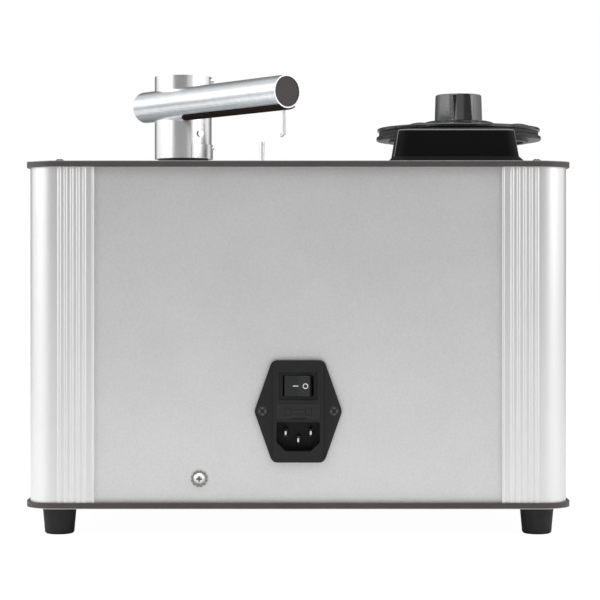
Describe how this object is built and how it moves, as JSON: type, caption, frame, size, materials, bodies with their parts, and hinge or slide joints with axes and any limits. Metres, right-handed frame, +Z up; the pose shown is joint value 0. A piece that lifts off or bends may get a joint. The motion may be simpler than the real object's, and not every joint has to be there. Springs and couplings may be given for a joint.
{
  "type": "record cleaning machine",
  "caption": "Desktop vacuum machine for cleaning discs: box case with ribbed corner posts, small clamped platter, sprung vacuum arm and fused mains inlet.",
  "frame": {"origin": "on the ground, under the middle of the case", "axes": "the rear face with the mains inlet looks along -Y, +X is to the right seen from the rear, +Z is up"},
  "size_m": [0.3064, 0.227, 0.2662],
  "materials": {
    "plates": "fine black-brown textured coat",
    "posts": "satin silver anodised extrusion",
    "panels": "fine-grained satin silver sheet",
    "dark_screws": "black oxide screws",
    "bright_screws": "zinc-plated steel",
    "feet": "dark grey moulded rubber",
    "inlet": "charcoal moulded plastic",
    "rocker": "charcoal moulded plastic with white marks",
    "pins": "nickel-plated brass pins",
    "fuse": "glass fuse with metal caps",
    "column": "satin turned and anodised",
    "black_plastic": "black moulded plastic",
    "acetal": "natural white machined plastic",
    "pipe": "grey plastic pipe",
    "spring": "spring steel wire",
    "stoppers": "dark grey-brown plastic",
    "velvet": "black velvet",
    "wire": "bright bent wire",
    "platter": "black satin coat",
    "mat": "black rubber mat",
    "belt": "black rubber belt",
    "bearing": "machined bearing housing",
    "clamp": "black moulded plastic",
    "seal": "black soft rubber",
    "knob": "dark grey satin moulded plastic",
    "motor": "grey motor can",
    "cowl": "black moulded plastic",
    "switch": "black switch body",
    "lever": "chromed toggle lever",
    "tank": "translucent white moulded tank",
    "lid": "moulded plastic lid",
    "hose": "dark flexible hose",
    "blower": "grey moulded blower housing",
    "gasket": "soft foam rubber ring"
  },
  "bodies": {
    "chassis": {"bottom_plate": "plates", "top_plate": "plates", "post_rear_left": "posts", "post_rear_right": "posts", "post_front_left": "posts", "post_front_right": "posts", "rear_panel": "panels", "front_panel": "panels", "left_panel": "panels", "right_panel": "panels", "deck_screws": "bright_screws", "foot_screws": "bright_screws", "rubber_feet": "feet", "inlet_housing": "inlet", "inlet_pins": "pins", "inlet_screws": "dark_screws", "earth_screw": "bright_screws", "earth_washer": "bright_screws", "panel_nuts": "bright_screws", "column_base": "black_plastic", "suction_pipe": "pipe", "flange_screws": "bright_screws", "lift_spring": "spring", "bearing_housing": "bearing", "platter_motor": "motor", "motor_screws": "bright_screws", "drive_belt": "belt", "motor_cowl": "cowl", "switch_bodies": "switch", "switch_nuts": "bright_screws", "waste_tank": "tank", "tank_lid": "lid", "suction_hose": "hose", "blower_housing": "blower", "blower_gasket": "gasket"},
    "arm_lifter": {"guide_sleeve": "acetal"},
    "vacuum_arm": {"arm_column": "column", "column_collar": "column", "column_cap": "column", "column_screws": "bright_screws", "arm_tube": "column", "arm_stoppers": "stoppers", "velvet_strip": "velvet", "hook_pin": "wire"},
    "platter": {"spindle": "bright_screws", "platter": "platter", "platter_mat": "mat", "platter_pulley": "black_plastic"},
    "motor_rotor": {"motor_pulley": "bearing"},
    "record_clamp": {"clamp_disc": "clamp", "clamp_seal": "seal", "clamp_pads": "seal", "clamp_knob": "knob"},
    "mains_rocker": {"inlet_rocker": "rocker"},
    "fuse_tray": {"fuse_drawer": "inlet", "mains_fuse": "fuse"},
    "motor_toggle": {"motor_lever": "lever"},
    "vacuum_toggle": {"vacuum_lever": "lever"},
    "blower_rotor": {"blower_fan": "blower"},
    "drain_plug": {"drain_bung": "mat"}
  },
  "joints": [
    {"name": "arm_lift", "type": "slide", "parent": "chassis", "child": "arm_lifter", "axis": [0, 0, 1], "range_m": [-0.0045, 0], "stiffness_N_per_m": 800, "springref_m": 0.01, "deforming": ["lift_spring"]},
    {"name": "arm_swing", "type": "hinge", "parent": "arm_lifter", "child": "vacuum_arm", "pos_m": [-0.07, -0.0085, 0.2396], "axis": [0, 0, 1], "range_deg": [-15, 60]},
    {"name": "platter_spin", "type": "hinge", "parent": "chassis", "child": "platter", "pos_m": [0.0982, 0, 0.2296], "axis": [0, 0, 1], "continuous": true},
    {"name": "motor_spin", "type": "hinge", "parent": "chassis", "child": "motor_rotor", "pos_m": [0.0893, -0.08, 0.2196], "axis": [0, 0, 1], "continuous": true},
    {"name": "clamp_lift", "type": "slide", "parent": "platter", "child": "record_clamp", "axis": [0, 0, 1], "range_m": [0, 0.03]},
    {"name": "mains_switch", "type": "hinge", "parent": "chassis", "child": "mains_rocker", "pos_m": [0, -0.1087, 0.084], "axis": [0, 0, 1], "range_deg": [0, 18]},
    {"name": "fuse_drawer_slide", "type": "slide", "parent": "chassis", "child": "fuse_tray", "axis": [0, -1, 0], "range_m": [0, 0.02]},
    {"name": "motor_toggle_tilt", "type": "hinge", "parent": "chassis", "child": "motor_toggle", "pos_m": [-0.024, 0.097, 0.2146], "axis": [0, 1, 0], "range_deg": [-12, 12]},
    {"name": "vacuum_toggle_tilt", "type": "hinge", "parent": "chassis", "child": "vacuum_toggle", "pos_m": [-0.075, 0.097, 0.2146], "axis": [0, 1, 0], "range_deg": [0, 24]},
    {"name": "blower_spin", "type": "hinge", "parent": "chassis", "child": "blower_rotor", "pos_m": [-0.0092, 0.005, 0.1], "axis": [0, 0, 1], "continuous": true},
    {"name": "drain_bung_pull", "type": "slide", "parent": "chassis", "child": "drain_plug", "axis": [-1, 0, 0], "range_m": [0, 0.02]}
  ],
  "couplings": [
    {"joint": "motor_spin", "follows": "platter_spin", "ratio": 3}
  ]
}
